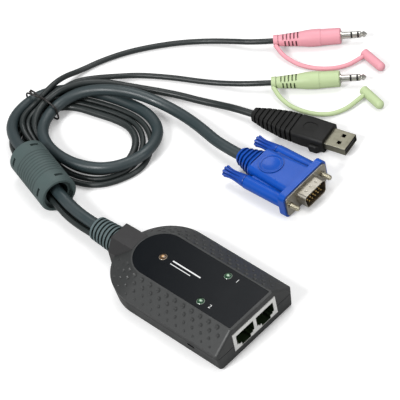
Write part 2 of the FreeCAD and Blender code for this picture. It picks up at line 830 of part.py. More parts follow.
# Video plug, made along +X with the face of its metal plate at x = 0 and its axis at z = 0


def rounded_slab(x0, x1, width, height, corner):
    slab = box(x0, x1, -width / 2, width / 2, -height / 2, height / 2)
    edges = [e for e in slab.Edges if abs(e.BoundBox.XMax - e.BoundBox.XMin) > 0.9 * (x1 - x0)]
    return slab.makeFillet(corner, edges)


def rounded_wire(x, half_width, half_height, corner):
    """Rounded rectangle across X, for lofts."""
    w = half_width - corner
    h = half_height - corner
    t = corner * math.sqrt(0.5)
    edges = []
    for sy, sz in ((1, 1), (-1, 1), (-1, -1), (1, -1)):
        a = V(x, sy * half_width, sz * h)
        b = V(x, sy * w, sz * half_height)
        middle = V(x, sy * (w + t), sz * (h + t))
        edges.append(Part.Arc(a, middle, b).toShape() if sy == sz else Part.Arc(b, middle, a).toShape())
        if (sy, sz) == (1, 1):
            edges.append(Part.makeLine(b, V(x, -w, half_height)))
        if (sy, sz) == (-1, 1):
            edges.append(Part.makeLine(a, V(x, -half_width, -h)))
        if (sy, sz) == (-1, -1):
            edges.append(Part.makeLine(b, V(x, w, -half_height)))
        if (sy, sz) == (1, -1):
            edges.append(Part.makeLine(a, V(x, half_width, h)))
    return Part.Wire(Part.__sortEdges__(edges))


def d_wire(x, inset):
    """Outline of the D-shaped shell, wide side up, with rounded corners."""
    half = shell_width / 2 - inset
    h = shell_height / 2 - inset
    lean = 2 * h * math.tan(math.radians(shell_slope))
    outline = polygon([V(x, -half, h), V(x, half, h), V(x, half - lean, -h), V(x, -half + lean, -h)])
    face = Part.Face(outline).extrude(V(1, 0, 0))
    edges = [e for e in face.Edges if abs(e.BoundBox.XMax - e.BoundBox.XMin) > 0.9]
    face = face.makeFillet(shell_corner - inset, edges)
    ends = [f for f in face.Faces if abs(f.CenterOfMass.x - x) < 0.01]
    return ends[0].OuterWire


def d_block(x0, x1, inset):
    return Part.Face(d_wire(x0, inset)).extrude(V(x1 - x0, 0, 0))


def thumb_axes():
    return (-screw_spacing / 2, screw_spacing / 2)


def thread_tool(y, clearance, x0, x1):
    return rod(thread_radius + clearance, V(x0, y, 0), V(1, 0, 0), x1 - x0)


def relief(back, front_x):
    """Ribbed strain relief between a small end and the body's end, as a core and its ribs."""
    half_thick = video_hood_thick / 2
    small = relief_small - relief_step
    core = Part.makeLoft([
        rounded_wire(back, small, small, small * 0.95),
        rounded_wire(front_x + 1.0, hood_back_half - relief_step, half_thick - relief_step,
                     half_thick - relief_step - 0.2),
    ], True, True)
    pieces = [core]
    pitch = (front_x - back) / relief_ribs
    for i in range(relief_ribs):
        share = (i + 0.35) / relief_ribs
        x = back + i * pitch + 0.01
        wide = relief_small + (hood_back_half - relief_rib_rise - relief_small) * share
        high = relief_small + (half_thick - relief_rib_rise - relief_small) * share
        rise = relief_rib_rise
        pieces.append(Part.makeLoft([
            rounded_wire(x, wide - rise, high - rise, (high - rise) * 0.93),
            rounded_wire(x + pitch * relief_rib_share, wide + rise, high + rise / 2, high * 0.93),
        ], True, True))
    return pieces


def video_hood():
    """Moulding: flange, body with rounded edges, ribbed relief, two screw barrels and the thumb dish."""
    x0 = -plate_sheet - flange_depth
    x1 = x0 - video_hood_depth
    half_thick = video_hood_thick / 2
    flange = rounded_slab(x0, -plate_sheet, flange_width, flange_height, flange_corner)
    body = Part.makeLoft([
        rounded_wire(x1, hood_back_half, half_thick, video_hood_corner),
        rounded_wire(x0 + 1.0, hood_front_half, half_thick, video_hood_corner),
    ], True, True)
    arms = []
    for y in thumb_axes():
        arms.append(rod(barrel_radius, V(x0 - barrel_length, y, 0), V(1, 0, 0), barrel_length + 1.5))
        low, high = sorted((0.0, y))
        half = barrel_radius * web_share
        arms.append(box(x0 - barrel_length + web_back, x0 + 1.2, low, high, -half, half))
    dish_x = x0 - video_hood_depth + dish_radius + dish_set_in
    rim = V(dish_x, 0, half_thick - dish_height)
    ring = rod(dish_radius, rim, UP, 2 * dish_height).cut(rod(dish_radius - dish_ring, rim, UP, 5))
    solid = flange.fuse([body] + relief(x1 - relief_length, x1) + arms + [ring])
    bowl = Part.makeSphere(bowl_radius, V(dish_x, 0, half_thick - bowl_depth + bowl_radius))
    bores = [thread_tool(y, thread_clearance, x0 - barrel_length - 1, 1) for y in thumb_axes()]
    tail = d_block(-plate_sheet - insert_depth, 1, shell_sheet)
    return solid.cut(bores + [bowl, tail])


def video_shell():
    """Drawn steel plate with the D-shaped tube and its pressed dents."""
    metal = rounded_slab(-plate_sheet, 0, plate_width, plate_height, plate_corner)
    metal = metal.fuse(d_block(-plate_sheet, shell_reach, 0))
    room = d_block(-plate_sheet - 1, shell_reach + 1, shell_sheet)
    holes = [thread_tool(y, thread_clearance, -5, 5) for y in thumb_axes()]
    dimples = [Part.makeSphere(dimple_radius, V(shell_reach * 0.55, y, z * (shell_height / 2 + dimple_out)))
               for y in (-dimple_pitch, 0, dimple_pitch) for z in (-1, 1)]
    return metal.cut([room] + holes + dimples)


def video_insulator():
    block = d_block(-plate_sheet - insert_depth, insert_proud, shell_sheet)
    return block.cut([rod(pin_radius, V(-9, y, z), V(1, 0, 0), 12) for y, z in pin_points()])


def pin_points():
    """Fifteen pins in three rows of five, the middle row half a pitch aside."""
    points = []
    for row, shift in ((1, 0.25), (0, -0.25), (-1, 0.25)):
        points += [((i - 2 + shift) * pin_pitch, row * pin_row) for i in range(5)]
    return points


def video_pins():
    pins = []
    for y, z in pin_points():
        stem = rod(pin_radius, V(-plate_sheet - insert_depth, y, z), V(1, 0, 0),
                   plate_sheet + insert_depth + pin_reach - 0.4)
        tip = Part.makeCone(pin_radius, pin_radius * 0.4, 0.4, V(pin_reach - 0.4, y, z), V(1, 0, 0))
        pins.append(stem.fuse(tip).removeSplitter())
    return group(pins)


def thumbscrew(y):
    """Fluted knob on a steel shank through the barrel; the wider thread stands out of the plate."""
    back = -plate_sheet - flange_depth - barrel_length - thumb_gap
    r = knob_radius
    knob = turned([(back - thumb_length, 0), (back - thumb_length, r - 0.5), (back - thumb_length + 0.5, r),
                   (back - 1.2, r), (back, r - 0.3), (back, 0)])
    flutes = []
    for i in range(thumb_flutes):
        angle = 2 * math.pi * i / thumb_flutes
        start = V(back - thumb_length - 1, (r + 0.15) * math.cos(angle), (r + 0.15) * math.sin(angle))
        flutes.append(rod(flute_radius, start, V(1, 0, 0), thumb_length - 1.5))
    slot = box(back - thumb_length - 1, back - thumb_length + 1, -5, 5, -0.5, 0.5)
    knob = knob.cut(flutes + [slot])
    full = thread_reach - thread_tip
    shank = rod(shank_radius, V(back - 0.5, 0, 0), V(1, 0, 0), full - back)
    screw = rod(thread_radius, V(thread_start, 0, 0), V(1, 0, 0), full - thread_start)
    tip = Part.makeCone(thread_radius, thread_radius - thread_tip, thread_tip, V(full, 0, 0), V(1, 0, 0))
    solid = knob.fuse([shank, screw, tip])
    solid.translate(V(0, y, 0))
    return solid


# USB plug, made along +X with the front of its moulding at x = 0 and its axis at z = 0


def usb_hood():
    """Long tapered moulding with cross grooves at the lead's end and a low grip on each side."""
    n = usb_hood_length
    wires = []
    for along, wide_share, thick_share in usb_hood_stations:
        wide = usb_hood_back_half + (usb_hood_half - usb_hood_back_half) * wide_share
        high = (usb_hood_back_thick + (usb_hood_thick - usb_hood_back_thick) * thick_share) / 2
        wires.append(rounded_wire(-n + n * along, wide, high, usb_hood_corner))
    body = Part.makeLoft(wires, True, True)
    grips = []
    out = 1.6 + grip_reach
    sizes = ((1.2, 1.6, 1.0), (out, 2.6, 1.4), (out, 2.6, 1.4), (1.2, 1.8, 1.0))
    for side in (-1, 1):
        grip = Part.makeLoft([rounded_wire(x, *size) for x, size in zip(grip_stations, sizes)], True, True)
        grip.translate(V(0, side * (usb_hood_half - 1.7), -usb_hood_thick / 2 + 2.6))
        grips.append(grip)
    body = body.fuse(grips)
    tools = []
    for i in range(usb_grooves):
        x = -n + usb_groove_start + i * usb_groove_pitch
        outer = box(x, x + usb_groove_width, -20, 20, -20, 20)
        share = min(1.0, (x + n) / (0.42 * n))
        wide = usb_hood_back_half + (usb_hood_half - usb_hood_back_half) * 0.86 * share - usb_groove_depth
        high = (usb_hood_back_thick + (usb_hood_thick - usb_hood_back_thick) * 0.9 * share) / 2
        inner = rounded_wire(x - 1, wide, high - usb_groove_depth, 1.8)
        tools.append(outer.cut(Part.Face(inner).extrude(V(usb_groove_width + 2, 0, 0))))
    pocket = box(-usb_buried, 1, -usb_shell_width / 2, usb_shell_width / 2,
                 -usb_shell_height / 2, usb_shell_height / 2)
    first, last, radius, depth = usb_dish
    floor = usb_hood_thick / 2 - depth
    dish = box(first, last, -radius, radius, floor, floor + 3)
    dish = dish.fuse([rod(radius, V(x, 0, floor), UP, 3) for x in (first, last)])
    return body.cut(tools + [pocket, dish])


def usb_shell():
    w = usb_shell_width / 2
    h = usb_shell_height / 2
    tube = box(-usb_buried, usb_reach, -w, w, -h, h)
    edges = [e for e in tube.Edges if abs(e.BoundBox.XMax - e.BoundBox.XMin) > 5]
    tube = tube.makeFillet(0.5, edges)
    room = box(-usb_buried - 1, usb_reach + 1, -w + usb_sheet, w - usb_sheet, -h + usb_sheet, h - usb_sheet)
    hole = usb_hole / 2
    x = usb_reach - usb_hole_back
    holes = [box(x - hole, x + hole, side * usb_hole_side - hole, side * usb_hole_side + hole, z, z + 1)
             for side in (-1, 1) for z in (-h - 0.5, h - 0.5)]
    return tube.cut([room] + holes)


def usb_insulator():
    w = usb_shell_width / 2 - usb_sheet
    z0 = -usb_shell_height / 2 + usb_sheet
    tongue = box(-usb_buried, usb_reach - 0.6, -w, w, z0, z0 + usb_tongue)
    back = box(-usb_buried, 0.5, -w, w, z0, usb_shell_height / 2 - usb_sheet)
    return tongue.fuse(back)


def usb_contacts():
    z0 = -usb_shell_height / 2 + usb_sheet + usb_tongue
    strips = []
    for y, length in ((-3.5, 7.4), (-1.0, 6.4), (1.0, 6.4), (3.5, 7.4)):
        strips.append(box(usb_reach - 1.4 - length, usb_reach - 1.4, y - 0.5, y + 0.5, z0, z0 + 0.15))
    return group(strips)


# Audio plugs, made along +X with the lead's end of the moulding at x = 0 and the axis at z = 0


def audio_hood():
    """Turned moulding: slotted relief, swelling body with a small step, flat nose."""
    n = audio_hood_length
    a = audio_relief_length
    profile = [(0, 0), (0, audio_relief_radius - 0.3), (0.3, audio_relief_radius),
               (a * 0.85, audio_relief_end), (a * 1.15, audio_hood_radius - 0.25),
               (a * 1.4, audio_hood_radius), (a * 1.75, audio_hood_radius),
               (a * 1.78, audio_nose_radius + 0.1), (n - 0.4, audio_nose_radius),
               (n, audio_nose_radius - 0.4),
               (n, 0)]
    body = turned(profile)
    tools = []
    for i in range(audio_slots):
        x = audio_slot_start + i * audio_slot_pitch
        shifted = x + audio_slot_pitch / 2
        floor = audio_relief_radius - audio_slot_depth
        half = audio_relief_radius * 0.8
        for low in (floor, -floor - 4):
            tools.append(box(x, x + audio_slot_width, -half, half, low, low + 4))
            if i < audio_slots - 1:
                side = half * 0.75
                tools.append(box(shifted, shifted + audio_slot_width, low, low + 4, -side, side))
    return body.cut(tools)


def jack_sleeve():
    n = audio_hood_length
    return turned([(n, 0), (n, jack_collar), (n + jack_collar_depth, jack_collar),
                   (n + jack_collar_depth, jack_radius), (n + jack_marks[0], jack_radius),
                   (n + jack_marks[0], 0)])


def jack_part(first, last):
    return rod(jack_radius, V(audio_hood_length + first, 0, 0), V(1, 0, 0), last - first)


def jack_tip():
    n = audio_hood_length
    first = n + jack_marks[3]
    return turned([(first, 0), (first, jack_radius), (first + 0.7, jack_radius), (first + 1.5, jack_waist),
                   (first + 2.6, jack_radius), (n + jack_length - 0.5, 0.7), (n + jack_length, 0)])


def audio_plug(place, heading):
    m = jack_marks
    return {
        "hood": set_down(audio_hood(), place, heading),
        "jack_sleeve": set_down(jack_sleeve(), place, heading),
        "jack_ring": set_down(jack_part(m[1], m[2]), place, heading),
        "jack_tip": set_down(jack_tip(), place, heading),
        "jack_insulators": set_down(group([jack_part(m[0], m[1]), jack_part(m[2], m[3])]), place, heading),
    }


# Leads: each route is rounded by the largest arcs that its runs allow


def round_path(points, radius=None):
    """Straight runs joined by tangent arcs: the wire, its length and its smallest radius."""
    route = [V(*point) for point in points]
    closed = route[0].distanceToPoint(route[-1]) < 1e-6
    corners = list(zip(route, route[1:], route[2:]))
    if closed:
        corners.append((route[-2], route[0], route[1]))
    arcs = []
    radii = []
    for before, corner, after in corners:
        come = corner - before
        go = after - corner
        half_turn = come.getAngle(go) / 2
        cut = radius * math.tan(half_turn) if radius else 0.45 * min(come.Length, go.Length)
        radii.append(cut / math.tan(half_turn))
        start = corner - V(come).normalize() * cut
        end = corner + V(go).normalize() * cut
        chord = (start + end) * 0.5
        bulge = radii[-1] * (1 - math.cos(half_turn))
        arcs.append((start, chord + (corner - chord).normalize() * bulge, end))
    edges = []
    here = arcs[-1][2] if closed else route[0]
    for start, middle, end in arcs:
        edges.append(Part.LineSegment(here, start).toShape())
        edges.append(Part.Arc(start, middle, end).toShape())
        here = end
    if not closed:
        edges.append(Part.LineSegment(here, route[-1]).toShape())
    return Part.Wire(edges), sum(edge.Length for edge in edges), min(radii)


def tube(points, diameter, radius=None):
    wire, length, smallest = round_path(points, radius)
    first = wire.Edges[0]
    start = first.FirstParameter
    circle = Part.makeCircle(diameter / 2, first.valueAt(start), first.tangentAt(start))
    solid = wire.makePipeShell([Part.Wire(circle)], True, False)
    share = solid.Volume / (math.pi * diameter ** 2 / 4 * length)
    print("tube", round(length, 1), "mm long, smallest radius", round(smallest, 1),
          "volume ratio", round(share, 4))
    return solid


def cable_tie():
    """One turn of wire round the coil and its two ends, twisted away above it."""
    loop = [(x, tie_y, z) for x, z in tie_loop]
    turn = tube(loop + [loop[0]], tie_wire, tie_bend)
    return turn.fuse([tube(tie_end_1, tie_wire), tube(tie_end_2, tie_wire)])


def cap(ring_place, ring_heading, route, place, heading):
    """Ring round the lead, strap and blind cap with a round end, moulded as one."""
    inner = audio_diameter / 2 + ring_clearance
    start = -ring_thickness - ring_gap
    ring = rod(inner + ring_wall, V(start, 0, 0), V(1, 0, 0), ring_thickness)
    bore = rod(inner, V(start - 5, 0, 0), V(1, 0, 0), ring_thickness + 10)
    ring = set_down(ring, ring_place, ring_heading)
    bore = set_down(bore, ring_place, ring_heading)
    middle = cap_length - cap_radius
    body = rod(cap_radius, V(0, 0, 0), V(1, 0, 0), middle).fuse(Part.makeSphere(cap_radius, V(middle, 0, 0)))
    body = set_down(body, place, heading)
    room = rod(jack_radius + cap_bore_clearance, V(-1, 0, 0), V(1, 0, 0), cap_bore_depth + 1)
    room = set_down(room, place, heading)
    strap = tube(route, 2 * strap_radius)
    return ring.fuse([strap, body]).cut([bore, room])


def make_pieces():
    pieces = {
        "case_top": case_top(),
        "case_bottom": case_bottom(),
        "case_screws": case_screws(),
        "top_label": top_label(),
        "port_shield": port_shield(),
        "port_housing": port_housing(),
        "circuit_board": circuit_board(),
        "controller_chip": controller_chip(),
        "network_transformers": network_transformers(),
        "clock_crystal": clock_crystal(),
        "led_packages": lamp_packages(),
        "recovery_switch_body": recovery_switch_body(),
        "recovery_switch_slider": recovery_switch_knob(),
        "cable_hood": cable_hood(),
        "cable_grommet": cable_grommet(),
        "ferrite_cover": ferrite_cover(),
        "ferrite_core": ferrite_core(),
        "cable_tie": cable_tie(),
        "vga_cord": tube(video_route, video_diameter),
        "usb_cord": tube(usb_route, usb_diameter),
        "mic_cord": tube(mic_route, audio_diameter),
        "speaker_cord": tube(speaker_route, audio_diameter),
        "mic_cap": cap(mic_place, mic_heading, mic_strap_route, mic_cap_place, mic_cap_heading),
        "speaker_cap": cap(speaker_place, speaker_heading, speaker_strap_route,
                           speaker_cap_place, speaker_cap_heading),
    }
    for name, x, y in light_points():
        pieces[name] = light_window(x, y)
    for number, y in enumerate(socket_centres(), 1):
        pieces["port_contacts_" + str(number)] = port_contacts(y)
    video_parts = {
        "vga_hood": video_hood(),
        "vga_shell": video_shell(),
        "vga_insulator": video_insulator(),
        "vga_pins": video_pins(),
    }
    for number, y in enumerate(thumb_axes(), 1):
        video_parts["vga_thumbscrew_" + str(number)] = thumbscrew(y)
    usb_parts = {
        "usb_hood": usb_hood(),
        "usb_shell": usb_shell(),
        "usb_insulator": usb_insulator(),
        "usb_contacts": usb_contacts(),
    }
    for name, shape in video_parts.items():
        pieces[name] = set_down(shape, video_place, video_heading)
    for name, shape in usb_parts.items():
        pieces[name] = set_down(shape, usb_place, usb_heading)
    for lead, place, heading in (("mic", mic_place, mic_heading),
                                 ("speaker", speaker_place, speaker_heading)):
        for name, shape in audio_plug(place, heading).items():
            pieces[lead + "_" + name] = shape
    return pieces


os.makedirs("parts", exist_ok=True)
for piece_name, piece in make_pieces().items():
    save(piece_name, piece)
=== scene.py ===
import math

import bpy
import numpy as np
from mathutils import Matrix, Vector


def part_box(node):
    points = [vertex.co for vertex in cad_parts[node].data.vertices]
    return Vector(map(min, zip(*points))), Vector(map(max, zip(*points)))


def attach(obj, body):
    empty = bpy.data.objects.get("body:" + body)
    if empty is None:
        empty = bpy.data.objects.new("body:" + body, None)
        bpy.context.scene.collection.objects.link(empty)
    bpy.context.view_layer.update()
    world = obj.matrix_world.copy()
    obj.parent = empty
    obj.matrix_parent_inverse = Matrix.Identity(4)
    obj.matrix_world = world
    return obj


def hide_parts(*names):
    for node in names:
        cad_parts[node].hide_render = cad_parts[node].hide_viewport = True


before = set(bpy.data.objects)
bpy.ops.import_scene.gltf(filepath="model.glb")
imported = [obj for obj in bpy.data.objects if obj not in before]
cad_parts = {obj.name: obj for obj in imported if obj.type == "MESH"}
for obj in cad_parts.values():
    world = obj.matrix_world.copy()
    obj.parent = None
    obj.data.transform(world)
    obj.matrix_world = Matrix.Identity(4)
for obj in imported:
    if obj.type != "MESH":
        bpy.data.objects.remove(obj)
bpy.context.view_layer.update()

# The case: a grey moulded lid over a tray of the same plastic, with a fine spark-eroded grain.
# Four screws from below hold the two together; the seam between them is a narrow dark line.


def finish_group(name, inputs):
    """A node group that takes the inputs given and puts out a finish's colour, roughness and normal."""
    group = bpy.data.node_groups.new(name, "ShaderNodeTree")
    for label, kind, value in inputs:
        socket = group.interface.new_socket(name=label, in_out="INPUT", socket_type="NodeSocket" + kind)
        socket.default_value = value
    for label, kind in (("Color", "Color"), ("Roughness", "Float"), ("Normal", "Vector")):
        group.interface.new_socket(name=label, in_out="OUTPUT", socket_type="NodeSocket" + kind)
    return group


def skin_group():
    """Moulded skin: a fine noise raises the grain, a wide one shifts colour and shine, painted shade fills
    crevices.

    The wide noise has 90 waves to a metre and counts between 0.3 and 0.7 of its range. The painted
    shade comes from an occlusion mask: where the surface within Reach shades a point, its colour is
    multiplied toward near black, by as much as Painted Shade.
    """
    group = finish_group("moulded_skin", (
        ("Color", "Color", (0.5, 0.5, 0.5, 1)), ("Patch", "Float", 0.1), ("Grain Scale", "Float", 1500),
        ("Grain Depth", "Float", 2e-5), ("Roughness", "Float", 0.5), ("Painted Shade", "Float", 0.8),
        ("Reach", "Float", 0.0012)))
    add, link = group.nodes.new, group.links.new
    given, result = add("NodeGroupInput"), add("NodeGroupOutput")
    place = add("ShaderNodeTexCoord")
    grain, patches = add("ShaderNodeTexNoise"), add("ShaderNodeTexNoise")
    grain.inputs["Detail"].default_value = 3
    patches.inputs["Scale"].default_value = 90
    patches.inputs["Detail"].default_value = 4
    link(place.outputs["Object"], grain.inputs["Vector"])
    link(place.outputs["Object"], patches.inputs["Vector"])
    link(given.outputs["Grain Scale"], grain.inputs["Scale"])
    shift = add("ShaderNodeMapRange")
    shift.inputs["From Min"].default_value = 0.3
    shift.inputs["From Max"].default_value = 0.7
    shift.inputs["To Max"].default_value = 0
    link(patches.outputs["Fac"], shift.inputs["Value"])
    link(given.outputs["Patch"], shift.inputs["To Min"])
    darker = add("ShaderNodeMix")
    darker.data_type = "RGBA"
    darker.blend_type = "MULTIPLY"
    darker.inputs["B"].default_value = (0.35, 0.37, 0.37, 1)
    link(shift.outputs["Result"], darker.inputs["Factor"])
    link(given.outputs["Color"], darker.inputs["A"])
    # Painted shade: ambient occlusion over Reach multiplies the colour toward near black in dents, slots,
    # grooves and seams.
    shade, occluded_share = add("ShaderNodeAmbientOcclusion"), add("ShaderNodeMapRange")
    painted_shade_mix = add("ShaderNodeMix")
    shade.samples = 8
    link(given.outputs["Reach"], shade.inputs["Distance"])
    occluded_share.inputs["To Max"].default_value = 0
    link(shade.outputs["AO"], occluded_share.inputs["Value"])
    link(given.outputs["Painted Shade"], occluded_share.inputs["To Min"])
    painted_shade_mix.data_type = "RGBA"
    painted_shade_mix.blend_type = "MULTIPLY"
    painted_shade_mix.inputs["B"].default_value = (0.02, 0.02, 0.02, 1)
    link(occluded_share.outputs["Result"], painted_shade_mix.inputs["Factor"])
    link(darker.outputs["Result"], painted_shade_mix.inputs["A"])
    link(painted_shade_mix.outputs["Result"], result.inputs["Color"])
    rough = add("ShaderNodeMath")
    rough.operation = "ADD"
    link(given.outputs["Roughness"], rough.inputs[0])
    link(shift.outputs["Result"], rough.inputs[1])
    link(rough.outputs["Value"], result.inputs["Roughness"])
    bump = add("ShaderNodeBump")
    link(given.outputs["Grain Depth"], bump.inputs["Distance"])
    link(grain.outputs["Fac"], bump.inputs["Height"])
    link(bump.outputs["Normal"], result.inputs["Normal"])
    return group


moulded_skin = skin_group()


def grouped_finish(name, group, values):
    """A new material whose main shader takes colour, roughness and normal from a finish group."""
    material = bpy.data.materials.new(name)
    material.use_nodes = True
    tree = material.node_tree
    shader, skin = tree.nodes["Principled BSDF"], tree.nodes.new("ShaderNodeGroup")
    skin.node_tree = group
    for socket, value in values.items():
        skin.inputs[socket].default_value = value
    for output, socket in (("Color", "Base Color"), ("Roughness", "Roughness"), ("Normal", "Normal")):
        tree.links.new(skin.outputs[output], shader.inputs[socket])
    return material, shader, skin


coat_roughness = 0.08


def moulded(name, color, roughness, patch=0.12, grain_scale=1500, grain_depth=2e-5, specular=0.5, coat=0.0,
            painted_shade=0.8, reach=0.0012):
    """A plastic or rubber finish: the skin group, with its painted shade in crevices, in front of one
    Principled shader.
    """
    material, shader, _ = grouped_finish(name, moulded_skin, {
        "Color": (*color, 1), "Patch": patch, "Grain Scale": grain_scale, "Grain Depth": grain_depth,
        "Roughness": roughness, "Painted Shade": painted_shade, "Reach": reach})
    shader.inputs["Specular IOR Level"].default_value = specular
    shader.inputs["Coat Weight"].default_value = coat
    shader.inputs["Coat Roughness"].default_value = coat_roughness
    return material


def dress(material, *names):
    """Puts one material on whole CAD nodes."""
    for name in names:
        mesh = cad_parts[name].data
        mesh.materials.clear()
        mesh.materials.append(material)


# The case's dents, seam and slots get strong painted shade from the skin group's occlusion mask, reaching 4
# mm.
dress(moulded("case_grain", (0.034, 0.036, 0.036), 0.38, grain_scale=2600, grain_depth=3e-5, painted_shade=1.0,
              reach=0.004), "case_top", "case_bottom")

# Zinc-plated steel of the case screws. Metal skins share one group: fine streaks along the drawing
# or rolling direction change the shine, and a wide noise dulls the plating in places.


def metal_group():
    """Drawn metal: a noise stretched along X makes streaks in shine and height; a wide noise tints."""
    group = finish_group("drawn_metal", (
        ("Vector", "Vector", (0, 0, 0)), ("Color", "Color", (1, 1, 1, 1)),
        ("Stain", "Color", (0.5, 0.5, 0.5, 1)), ("Roughness", "Float", 0.25)))
    add, link = group.nodes.new, group.links.new
    given, result = add("NodeGroupInput"), add("NodeGroupOutput")
    stretch = add("ShaderNodeVectorMath")
    stretch.operation = "MULTIPLY"
    stretch.inputs[1].default_value = (250, 3500, 3500)
    link(given.outputs["Vector"], stretch.inputs[0])
    streaks, clouds = add("ShaderNodeTexNoise"), add("ShaderNodeTexNoise")
    streaks.inputs["Scale"].default_value = 1
    streaks.inputs["Detail"].default_value = 2
    clouds.inputs["Scale"].default_value = 260
    clouds.inputs["Detail"].default_value = 4
    link(stretch.outputs["Vector"], streaks.inputs["Vector"])
    link(given.outputs["Vector"], clouds.inputs["Vector"])
    tint = add("ShaderNodeMapRange")
    tint.inputs["From Min"].default_value = 0.5
    tint.inputs["From Max"].default_value = 0.75
    tint.inputs["To Max"].default_value = 0.6
    link(clouds.outputs["Fac"], tint.inputs["Value"])
    mix = add("ShaderNodeMix")
    mix.data_type = "RGBA"
    link(tint.outputs["Result"], mix.inputs["Factor"])
    link(given.outputs["Color"], mix.inputs["A"])
    link(given.outputs["Stain"], mix.inputs["B"])
    link(mix.outputs["Result"], result.inputs["Color"])
    spread = add("ShaderNodeMath")
    spread.operation = "MULTIPLY_ADD"
    spread.inputs[1].default_value = 0.22
    link(streaks.outputs["Fac"], spread.inputs[0])
    link(given.outputs["Roughness"], spread.inputs[2])
    link(spread.outputs["Value"], result.inputs["Roughness"])
    bump = add("ShaderNodeBump")
    bump.inputs["Distance"].default_value = 4e-6
    link(streaks.outputs["Fac"], bump.inputs["Height"])
    link(bump.outputs["Normal"], result.inputs["Normal"])
    return group


drawn_metal = metal_group()


def metal(name, color, stain, roughness, heading=0.0):
    """Bare or plated metal whose streaks run along a heading in the XY plane, in degrees."""
    material, shader, skin = grouped_finish(name, drawn_metal, {
        "Color": (*color, 1), "Stain": (*stain, 1), "Roughness": roughness})
    tree = material.node_tree
    place, turn = tree.nodes.new("ShaderNodeTexCoord"), tree.nodes.new("ShaderNodeMapping")
    turn.inputs["Rotation"].default_value = (0, 0, -math.radians(heading))
    tree.links.new(place.outputs["Object"], turn.inputs["Vector"])
    tree.links.new(turn.outputs["Vector"], skin.inputs["Vector"])
    shader.inputs["Metallic"].default_value = 1
    return material


dress(metal("zinc_plate", (0.5, 0.51, 0.53), (0.36, 0.36, 0.34), 0.3), "case_screws")

# The top plate: a bullet-shaped sheet of black gloss plastic let into the lid. Its print is white:
# a number beside each link light and two plain rules along its middle.
dress(moulded("plate_gloss", (0.003, 0.0045, 0.0065), 0.17, patch=0.05, grain_scale=900, grain_depth=2e-6,
              specular=0.11), "top_label")
plate_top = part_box("top_label")[1].z
print_white = moulded("print_white", (0.85, 0.86, 0.86), 0.55, patch=0.05, grain_scale=5000,
                      grain_depth=4e-6)
print_thickness = 0.00004
numeral_height, numeral_ahead, numeral_aside = 0.0021, 0.0352, 0.0097
figure_share = 0.7


def new_piece(name, data, material, body):
    """A piece from a finished mesh or curve, in one finish, that moves with a body."""
    data.materials.clear()
    data.materials.append(material)
    piece = bpy.data.objects.new(name, data)
    bpy.context.collection.objects.link(piece)
    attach(piece, body)
    return piece


def numeral(text, x, y):
    """A printed number: the built-in font's outline, as thick as the print, read from the near side."""
    curve = bpy.data.curves.new("print_" + text, "FONT")
    curve.body = text
    curve.size = numeral_height / figure_share
    curve.extrude = print_thickness / 2
    curve.align_x = "CENTER"
    curve.align_y = "CENTER"
    drawn = bpy.data.objects.new("outline_" + text, curve)
    bpy.context.collection.objects.link(drawn)
    bpy.context.view_layer.update()
    seen = drawn.evaluated_get(bpy.context.evaluated_depsgraph_get())
    mesh = bpy.data.meshes.new_from_object(seen)
    bpy.data.objects.remove(drawn)
    mesh.transform(Matrix.Translation((x, y, plate_top + print_thickness / 2)))
    new_piece("print_" + text, mesh, print_white, "adapter")


def strip(name, start, end, y, width):
    """A printed rule: a slab whose corners are each choice of bottom or top, start or end, and side."""
    corners = [(x, y + side * width / 2, plate_top + rise)
               for rise in (0, print_thickness) for x in (start, end) for side in (-1, 1)]
    mesh = bpy.data.meshes.new(name)
    mesh.from_pydata(corners, [], [(0, 1, 3, 2), (4, 6, 7, 5), (0, 4, 5, 1), (2, 3, 7, 6),
                                   (0, 2, 6, 4), (1, 5, 7, 3)])
    new_piece(name, mesh, print_white, "adapter")


numeral("1", numeral_ahead, numeral_aside)
numeral("2", numeral_ahead, -numeral_aside)
strip("rule_long", 0.0005, 0.0190, 0.0008, 0.0007)
strip("rule_short", 0.0005, 0.0140, -0.0012, 0.0004)

# Light windows: clear round pipes that stand through the plate, amber for power and green for the
# links. Each shows painted lamp light in its middle where its lamp sits, a dark ring and a painted highlight
# at its edge.


ring_scale = 420
ring_blur = 0.12
ring_stops = {"painted_glow": 0.16, "dark": (0.42, 0.78), "rim": 0.93}


